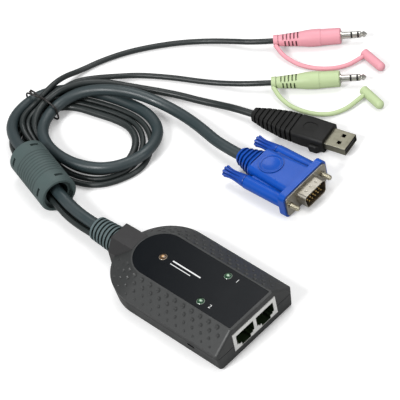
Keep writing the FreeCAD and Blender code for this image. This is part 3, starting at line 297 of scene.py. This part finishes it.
def window(name, node, painted_glow, dark, rim):
    """Colour by distance from the window's own axis: painted lamp light in the middle, then a dark ring,
    then a painted highlight at the edge.

    The ramp runs from the axis outwards, to 1 / ring_scale away, and a noise blurs it by ring_blur.
    """
    low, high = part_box(node)
    material = bpy.data.materials.new(name)
    material.use_nodes = True
    tree = material.node_tree
    link, shader = tree.links.new, tree.nodes["Principled BSDF"]
    place, away, flat, length, noise, blur, share, ramp = (tree.nodes.new("ShaderNode" + kind) for kind in (
        "TexCoord", "VectorMath", "VectorMath", "VectorMath", "TexNoise", "Math", "Math", "ValToRGB"))
    away.operation = "SUBTRACT"
    away.inputs[1].default_value = (low + high) / 2
    flat.operation = "MULTIPLY"
    flat.inputs[1].default_value = (1, 1, 0)
    length.operation = "LENGTH"
    noise.inputs["Scale"].default_value = 900
    blur.operation = "MULTIPLY"
    blur.inputs[1].default_value = ring_blur
    share.operation = "MULTIPLY_ADD"
    share.inputs[1].default_value = ring_scale
    link(place.outputs["Object"], away.inputs[0])
    link(away.outputs["Vector"], flat.inputs[0])
    link(flat.outputs["Vector"], length.inputs[0])
    link(place.outputs["Object"], noise.inputs["Vector"])
    link(noise.outputs["Fac"], blur.inputs[0])
    link(length.outputs["Value"], share.inputs[0])
    link(blur.outputs["Value"], share.inputs[2])
    link(share.outputs["Value"], ramp.inputs["Fac"])
    first, last = ramp.color_ramp.elements
    first.position, first.color = ring_stops["painted_glow"], (*painted_glow, 1)
    last.position, last.color = ring_stops["rim"], (*rim, 1)
    for position in ring_stops["dark"]:
        ramp.color_ramp.elements.new(position).color = (*dark, 1)
    link(ramp.outputs["Color"], shader.inputs["Base Color"])
    shader.inputs["Roughness"].default_value = 0.12
    shader.inputs["Coat Weight"].default_value = 0.8
    shader.inputs["Coat Roughness"].default_value = 0.04
    dress(material, node)


# Each window's first colour is painted lamp light and its last a painted highlight.
window("lens_amber", "power_led", (0.9, 0.55, 0.25), (0.09, 0.045, 0.015), (0.62, 0.55, 0.45))
for number in ("1", "2"):
    window("lens_green_" + number, "link_led_" + number, (0.5, 0.72, 0.5), (0.012, 0.06, 0.026),
           (0.5, 0.58, 0.5))

# Network sockets: a folded shell of bright tinned steel round a black moulding, with eight gold
# wires in each opening. The board and its parts show only through the openings.
dress(metal("bright_tin", (1.0, 1.0, 0.98), (0.9, 0.9, 0.88), 0.45), "port_shield")
# The black moulding carries a green tint: a painted reflection of the green board inside the openings.
dress(moulded("socket_black_green_reflection", (0.016, 0.03, 0.012), 0.35, grain_scale=1200), "port_housing")
gold = metal("contact_gold", (0.94, 0.68, 0.28), (0.6, 0.4, 0.16), 0.2)
dress(gold, "port_contacts_1", "port_contacts_2")
dress(moulded("solder_mask", (0.01, 0.12, 0.045), 0.3, patch=0.3, grain_scale=400), "circuit_board")
dress(moulded("chip_epoxy", (0.012, 0.012, 0.013), 0.6, grain_scale=4000), "controller_chip",
      "network_transformers")
dress(metal("crystal_can", (0.7, 0.7, 0.7), (0.5, 0.5, 0.5), 0.3), "clock_crystal")
dress(moulded("lamp_body", (0.8, 0.8, 0.74), 0.4), "led_packages")

# Recovery switch: a small black slide switch behind the slot in the near side. Its body stays
# inside the case, and its knob slides along the slot.
dress(moulded("switch_black", (0.012, 0.012, 0.012), 0.42, grain_scale=2000), "recovery_switch_body")
dress(moulded("knob_black", (0.03, 0.03, 0.03), 0.5, grain_scale=3000), "recovery_switch_slider")

# Gland: a faceted black cover against the case, and a ribbed bush of soft grey-green rubber that
# is moulded round the four leads. The bush is painted lighter than the ferrite's rubber as a painted
# highlight on its ribs, and its grooves get strong painted shade.
dress(moulded("cover_black", (0.024, 0.023, 0.024), 0.38, patch=0.15, grain_scale=2600, grain_depth=3e-5),
      "cable_hood")
# Lighter colour here is a painted highlight on the same rubber; the occlusion mask paints shade in the
# grooves.
dress(moulded("bush_grey_painted_highlight", (0.11, 0.155, 0.16), 0.4, patch=0.2, grain_scale=1800, painted_shade=1.0, reach=0.002),
      "cable_grommet")

# Ferrite: a sintered black core inside an overmould of the same grey-green rubber, with short slots
# at both ends where the mould held the core.
dress(moulded("ferrite_grey", (0.075, 0.11, 0.108), 0.46, patch=0.2, grain_scale=1800), "ferrite_cover")
dress(moulded("ferrite_black", (0.02, 0.02, 0.021), 0.6, patch=0.3, grain_scale=6000), "ferrite_core")

# Leads: round soft jackets in slate grey, from the gland through the ferrite, once round the coil
# and out to their plugs. Each is one smooth curve with the route's points as its control points.
thick_jacket = moulded("lead_jacket", (0.03, 0.048, 0.053), 0.3, patch=0.25, grain_scale=700,
                       grain_depth=1.2e-5, specular=0.7)
thin_jacket = moulded("thin_jacket", (0.02, 0.027, 0.027), 0.27, patch=0.25, grain_scale=900,
                      grain_depth=1e-5, specular=0.6)


def lead(name, node, jacket, diameter, points):
    """A round cord: a NURBS curve of third order through its end points, with a circular section.

    The points are in millimetres.
    """
    curve = bpy.data.curves.new(name, "CURVE")
    curve.dimensions = "3D"
    curve.bevel_depth = diameter / 2
    curve.bevel_resolution = 7
    curve.use_fill_caps = True
    curve.resolution_u = 10
    spline = curve.splines.new("NURBS")
    spline.points.add(len(points) - 1)
    spline.points.foreach_set("co", np.c_[np.array(points) / 1000, np.ones(len(points))].ravel())
    spline.order_u = 3
    spline.use_endpoint_u = True
    cord = new_piece(name, curve, jacket, "adapter")
    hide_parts(node)
    return cord


video_lead = lead("video_lead", "vga_cord", thick_jacket, 0.006, [
    (-54, 0, 10.6), (-69.5, 0.2, 10.9), (-86, 3.7, 11.8), (-103.3, 8.4, 12), (-120.7, 13.8, 11.7),
    (-135, 17.6, 10.4), (-147, 25.8, 7.8), (-154, 39, 5), (-153.4, 54, 3.8), (-142.9, 66.6, 3.2),
    (-127.5, 72.6, 3.1), (-111.5, 76, 3.1), (-95.5, 77, 3.2), (-81.5, 71.5, 3.8), (-73.5, 60, 6.2),
    (-72.8, 46, 7.2), (-81, 32.6, 7.3), (-95.6, 25.8, 7.2), (-111.6, 24.7, 7.1), (-126, 28.9, 7.1),
    (-135.2, 38.4, 6), (-137.9, 51.3, 6.5), (-132.9, 63, 8.8), (-121.5, 71.5, 10.8), (-106.5, 79.6, 9.8),
    (-91.5, 84.3, 6.2), (-76, 85, 5.4), (-60, 82.6, 6.6), (-44.5, 79.36, 7.3), (-29.62, 79.88, 7.3),
])
usb_lead = lead("usb_lead", "usb_cord", thin_jacket, 0.0038, [
    (-54, 3.6, 7), (-69.5, 3.6, 6.2), (-85.5, 6.4, 7.5), (-102.5, 11.4, 7.6), (-119.9, 16.2, 7.4),
    (-129.8, 19.6, 4.5), (-138.8, 26.3, 2.1), (-141.8, 37, 2.5), (-142.2, 47, 3.2), (-138.4, 54.8, 2.1),
    (-130.3, 59, 1.95), (-120, 61.2, 1.95), (-108, 64, 1.95), (-97, 64.6, 1.95), (-88.2, 60.4, 1.95),
    (-82.6, 53.4, 1.95), (-79.8, 44.5, 1.95), (-82.8, 35.8, 1.95), (-90, 30, 1.95),
    (-100.5, 26.8, 1.95), (-112, 27, 1.95), (-122, 29.2, 1.95), (-131.9, 30.3, 1.95),
    (-138.2, 33.8, 5.8), (-141.6, 41, 8.6), (-142.8, 49, 9.2), (-141.6, 58.5, 10), (-136, 67.8, 10.4),
    (-126.5, 76.5, 9.2), (-115.9, 86, 3.4), (-103.5, 92.4, 2), (-92, 96.6, 1.95), (-79.4, 100, 1.95),
    (-67.5, 103.6, 2.5), (-56.6, 105.16, 4.5), (-46.32, 107.34, 4.5),
])
microphone_lead = lead("microphone_lead", "mic_cord", thin_jacket, 0.003, [
    (-54, -3.9, 7.6), (-69.5, -4.2, 7), (-86.8, -0.3, 8.6), (-104.3, 4.9, 8.6), (-121.8, 9.8, 8.4),
    (-132.5, 13.6, 6.4), (-141, 19.4, 4), (-146.8, 27.4, 2.6), (-149.3, 37.5, 2.4), (-149.2, 47.5, 2.8),
    (-146, 56.4, 1.8), (-138, 63.9, 1.55), (-126, 67.8, 1.55), (-111.2, 71.2, 1.55), (-97, 72.1, 1.55),
    (-84.8, 67.8, 1.55), (-75.5, 58.6, 1.55), (-70.2, 46.5, 1.55), (-75.5, 31.6, 1.55),
    (-83.5, 23, 1.55), (-96.5, 18.6, 1.55), (-110, 19.6, 1.55), (-120.5, 22, 1.6), (-129, 24, 4.4),
    (-138.4, 26.3, 8.2), (-146.4, 33.8, 7.6), (-148.6, 44.6, 6), (-148.6, 57, 9.2), (-150.2, 68, 6.8),
    (-150, 79.5, 2.2), (-146.2, 92.3, 1.55), (-139.1, 105.1, 1.55), (-130.3, 116.1, 1.55),
    (-120.5, 126.2, 1.55), (-109, 135.4, 1.6), (-96, 142.6, 2.6), (-82.8, 147.75, 4.7), (-73.2, 155.8, 4.7),
])
speaker_lead = lead("speaker_lead", "speaker_cord", thin_jacket, 0.003, [
    (-54, 0, 5.2), (-69.5, -0.8, 4.6), (-86.2, 2.8, 6), (-103.5, 7.6, 6.1), (-120.9, 12.8, 6),
    (-132, 17, 4.4), (-140.6, 23, 2.6), (-144.5, 30.5, 1.9), (-146, 38.5, 2.3), (-146, 47, 2.8),
    (-142.8, 55.6, 1.7), (-134.8, 61.2, 1.55), (-124.5, 64.4, 1.55), (-110.5, 67.9, 1.55),
    (-97, 68.7, 1.55), (-86.6, 64.2, 1.55), (-79.6, 56, 1.55), (-75.2, 46, 1.55), (-78.2, 34.8, 1.55),
    (-85, 27, 1.55), (-97.5, 22.3, 1.55), (-111, 23.1, 1.55), (-121.5, 25.6, 1.6), (-130.6, 26.8, 3.4),
    (-139.4, 29.9, 6.7), (-144.9, 37.8, 5.6), (-145, 47.5, 6), (-144.6, 58, 6.8), (-140.8, 68.5, 8.4),
    (-134.8, 77.6, 6.8), (-130, 87.2, 2.6), (-122.4, 94.6, 1.6), (-112.8, 100.3, 1.55),
    (-101.2, 106.1, 1.55), (-89.8, 110.9, 1.6), (-77, 116.6, 2.4), (-62.2, 123.55, 4.7), (-52.5, 131.4, 4.7),
])

# Tie: black plastic-covered wire, laid once round the coil and twisted by hand, so that its two
# short ends stand up.
dress(moulded("tie_black", (0.014, 0.011, 0.01), 0.38, grain_scale=2500), "cable_tie")

# Video plug: one moulding in bright blue, a plated steel plate with the D-shaped shell, and two
# blue knobs, flared and grooved toward the tail, on steel screws with a cut thread.
dress(moulded("video_blue", (0.003, 0.085, 0.5), 0.26, patch=0.1, grain_scale=2200, grain_depth=1.5e-5,
              specular=0.35, coat=0.12), "vga_hood")
video_place = np.array([13.95, 81.4, 7.3])
video_heading = 2.0
dress(metal("plug_nickel", (0.45, 0.425, 0.37), (0.29, 0.265, 0.19), 0.25, video_heading), "vga_shell")
dress(moulded("insert_black", (0.01, 0.01, 0.01), 0.4), "vga_insulator")
dress(gold, "vga_pins")


def round_piece(name, rows, offset, number, material):
    """A surface round an axis along the plug's X, closed by a point at each end.

    Point of row (x, r) at angle a: place + turn(heading) * (x, offset + r(a) cos a, r(a) sin a).
    """
    around = len(rows[0][1])
    angle = 2 * np.pi * np.arange(around) / around
    rings = [np.stack([np.full(around, x), offset + r * np.cos(angle), r * np.sin(angle)], 1)
             for x, r in rows]
    local = np.concatenate(rings + [[[rows[0][0], offset, 0], [rows[-1][0], offset, 0]]])
    c, s = math.cos(math.radians(video_heading)), math.sin(math.radians(video_heading))
    points = (local @ np.array([[c, s, 0], [-s, c, 0], [0, 0, 1]]) + video_place) / 1000
    a = np.arange(around)
    b = (a + 1) % around
    faces = [quad for i in range(len(rows) - 1)
             for quad in (np.stack([a, b, b + around, a + around], 1) + i * around).tolist()]
    first = len(rows) * around
    faces += np.stack([np.full(around, first), b, a], 1).tolist()
    faces += np.stack([np.full(around, first + 1), a + first - around, b + first - around], 1).tolist()
    mesh = bpy.data.meshes.new(name)
    mesh.from_pydata(points.tolist(), [], faces)
    mesh.polygons.foreach_set("use_smooth", np.ones(len(faces), bool))
    return new_piece(name, mesh, material, "video_thumbscrew_" + str(number))


knob_back, knob_length, knob_radius = -29.5, 14, 3.28
knob_waist, knob_grooves, groove_depth, groove_end = 0.7, 8, 1.2, 0.8
knob_around = 128


def knob_rows():
    """Waisted knob, u from its flared tail (0) to the barrel (1), grooved up to groove_end.

    r = radius - waist sin^2(pi u^0.7) - depth (1 - u)^0.6 (1 - |cos(grooves a / 2)|)^1.3.
    """
    a = 2 * np.pi * np.arange(knob_around) / knob_around
    groove = (1 - np.abs(np.cos(knob_grooves * a / 2))) ** 1.3
    tail = knob_back - knob_length
    rows = [(tail + 0.5, 1.0 + 0 * a), (tail + 0.25, 1.9 - 0.4 * groove)]
    rounding = [(0, 0.45), (0.008, 0.2), (0.025, 0.04)]
    for u, inset in rounding + [(v, 0) for v in np.linspace(0.05, 0.97, 24)]:
        body = knob_radius - knob_waist * math.sin(math.pi * u ** 0.7) ** 2
        cut = groove_depth * (1 - u) ** 0.6 * groove * (u < groove_end)
        rows.append((knob_back - knob_length * (1 - u), body - inset - cut))
    return rows + [(knob_back - 0.1, 3.15 + 0 * a), (knob_back, 2.9 + 0 * a)]


thread_start, thread_end, thread_pitch = 0.2, 5.2, 0.635
thread_radius, thread_depth, shank_radius, thread_tip = 1.42, 0.3, 1.25, 0.4
screw_around = 48


def thread_rows():
    """Screw: r = radius - depth times a triangle wave of x / pitch - a / 2 pi; its tip narrows."""
    a = 2 * np.pi * np.arange(screw_around) / screw_around
    rows = [(knob_back - 0.5, shank_radius + 0 * a), (thread_start - 0.1, shank_radius + 0 * a)]
    for x in np.arange(thread_start, thread_end, thread_pitch / 10):
        wave = np.abs(2 * ((x / thread_pitch - a / (2 * np.pi)) % 1) - 1)
        run_in = min(1, (x - thread_start) / 0.3)
        rows.append((x, thread_radius - thread_depth * wave * run_in - max(0, x - thread_end + thread_tip)))
    return rows + [(thread_end, 0.9 + 0 * a)]


screw_aside = 12.495
knob_blue = moulded("knob_blue", (0.004, 0.065, 0.42), 0.3, patch=0.1, grain_scale=2200, grain_depth=1.5e-5,
                    specular=0.4, coat=0.2, reach=0.0008)
screw_nickel = metal("screw_nickel", (0.62, 0.58, 0.45), (0.42, 0.38, 0.28), 0.2, video_heading)
for number, offset in ((1, -screw_aside), (2, screw_aside)):
    knob = round_piece("video_knob_" + str(number), knob_rows(), offset, number, knob_blue)
    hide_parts("vga_thumbscrew_" + str(number))
    screw = round_piece("video_screw_" + str(number), thread_rows(), offset, number, screw_nickel)

# USB plug: a tapered black moulding with cross grooves, and a folded, nickel-plated steel shell
# round a black tongue with four gold strips.
dress(moulded("usb_black", (0.008, 0.008, 0.0075), 0.5, patch=0.2, grain_scale=2400, grain_depth=3e-5,
              specular=0.35), "usb_hood")
usb_heading = 12.0
dress(metal("usb_nickel", (0.27, 0.26, 0.2), (0.16, 0.15, 0.11), 0.24, usb_heading), "usb_shell")
dress(moulded("tongue_black", (0.012, 0.012, 0.012), 0.35), "usb_insulator")
dress(gold, "usb_contacts")

# Audio plugs: soft mouldings, pink for the microphone and green for the speaker, each with a cap
# on a strap in the same colour and a nickel-plated plug with two black rings.
pink = moulded("microphone_pink", (0.94, 0.41, 0.48), 0.42, patch=0.08, grain_depth=1.5e-5)
green = moulded("speaker_green", (0.59, 0.72, 0.4), 0.42, patch=0.08, grain_depth=1.5e-5)
ring_black = moulded("ring_black", (0.008, 0.008, 0.008), 0.3)
for plug, color, heading in (("mic", pink, 40.0), ("speaker", green, 39.0)):
    dress(color, plug + "_hood", plug + "_cap")
    dress(metal(plug + "_nickel", (0.78, 0.77, 0.72), (0.5, 0.48, 0.42), 0.15, heading),
          plug + "_jack_sleeve", plug + "_jack_ring", plug + "_jack_tip")
    dress(ring_black, plug + "_jack_insulators")

# The studio: a floor that runs out of view on every side, white to the camera and greyer to the
# object, in a dim surround that metal and gloss see too. The floor keeps the soft shadow.
floor_half, floor_drop = 6, 0.0003
near_glow, far_glow = 0.22, 0.8
floor_mesh = bpy.data.meshes.new("floor")
corners = [(floor_half * x, floor_half * y, -floor_drop) for x, y in ((-1, -1), (1, -1), (1, 1), (-1, 1))]
floor_mesh.from_pydata(corners, [], [(0, 1, 2, 3)])
floor = bpy.data.objects.new("floor", floor_mesh)
bpy.context.collection.objects.link(floor)
floor_white = bpy.data.materials.new("floor_white")
floor_white.use_nodes = True
add, link = floor_white.node_tree.nodes.new, floor_white.node_tree.links.new
paint = floor_white.node_tree.nodes["Principled BSDF"]
paint.inputs["Roughness"].default_value = 0.9
paint.inputs["Specular IOR Level"].default_value = 0.1
paint.inputs["Emission Color"].default_value = (1, 1, 1, 1)
rays, spot, away, rise, lift, tone = (add("ShaderNode" + kind) for kind in (
    "LightPath", "TexCoord", "VectorMath", "MapRange", "Math", "Mix"))
away.operation = "LENGTH"
rise.inputs["From Min"].default_value = 0.3
rise.inputs["From Max"].default_value = 1.5
rise.inputs["To Min"].default_value = near_glow
rise.inputs["To Max"].default_value = far_glow
lift.operation = "MULTIPLY"
tone.data_type = "RGBA"
tone.inputs["A"].default_value = (0.5, 0.5, 0.5, 1)
tone.inputs["B"].default_value = (0.95, 0.95, 0.95, 1)
link(spot.outputs["Object"], away.inputs[0])
link(away.outputs["Value"], rise.inputs["Value"])
link(rays.outputs["Is Camera Ray"], lift.inputs[0])
link(rise.outputs["Result"], lift.inputs[1])
link(lift.outputs["Value"], paint.inputs["Emission Strength"])
link(rays.outputs["Is Camera Ray"], tone.inputs["Factor"])
link(tone.outputs["Result"], paint.inputs["Base Color"])
floor_mesh.materials.append(floor_white)

world = bpy.data.worlds.new("surround")
world.use_nodes = True
bpy.context.scene.world = world
sky = world.node_tree.nodes["Background"]
sky.inputs["Color"].default_value = (1, 1, 1, 1)
add, link = world.node_tree.nodes.new, world.node_tree.links.new
seen, either, strength = add("ShaderNodeLightPath"), add("ShaderNodeMath"), add("ShaderNodeMapRange")
either.operation = "MAXIMUM"
strength.inputs["To Min"].default_value = 0.28
strength.inputs["To Max"].default_value = 1.0
link(seen.outputs["Is Camera Ray"], either.inputs[0])
link(seen.outputs["Is Transmission Ray"], either.inputs[1])
link(either.outputs["Value"], strength.inputs["Value"])
link(strength.outputs["Result"], sky.inputs["Strength"])


def softbox(name, place, aim, size, power):
    """A square area lamp that looks at a point."""
    lamp = bpy.data.lights.new(name, "AREA")
    lamp.size = size
    lamp.energy = power
    holder = bpy.data.objects.new(name, lamp)
    holder.location = place
    holder.rotation_euler = (Vector(aim) - Vector(place)).to_track_quat("-Z", "Y").to_euler()
    bpy.context.collection.objects.link(holder)


middle = (-0.03, 0.06, 0)
softbox("key_lamp", (-0.1, -0.85, 0.85), middle, 0.35, 9.5)
softbox("top_lamp", (-0.22, 0.51, 1.12), middle, 0.9, 6.7)
softbox("side_lamp", (0.9, 0.2, 0.6), middle, 0.5, 2.4)

# The camera stands at the photograph's place: fitted to the corners of the sockets, the plugs and
# the case, with the picture turned a little about its line of sight.
photo_side, focal_pixels = 400, 2326.63
camera_aim, camera_distance = Vector((-0.03158, 0.04917, 0)), 1.17803
azimuth, elevation, roll = (math.radians(angle) for angle in (-36.83, 45.98, -13.32))
toward = -Vector((math.cos(elevation) * math.cos(azimuth), math.cos(elevation) * math.sin(azimuth),
                  math.sin(elevation)))
across = toward.cross(Vector((0, 0, 1))).normalized()
upright = across.cross(toward)
right = across * math.cos(roll) + upright * math.sin(roll)
up = upright * math.cos(roll) - across * math.sin(roll)
camera = bpy.data.cameras.new("camera")
camera.sensor_width = 36
camera.lens = focal_pixels / photo_side * camera.sensor_width
camera.clip_start, camera.clip_end = 0.05, 20
eye = bpy.data.objects.new("camera", camera)
turn = Matrix((right, up, -toward)).transposed().to_4x4()
eye.matrix_world = Matrix.Translation(camera_aim - toward * camera_distance) @ turn
bpy.context.collection.objects.link(eye)
bpy.context.scene.camera = eye
bpy.context.scene.view_settings.view_transform = "Standard"
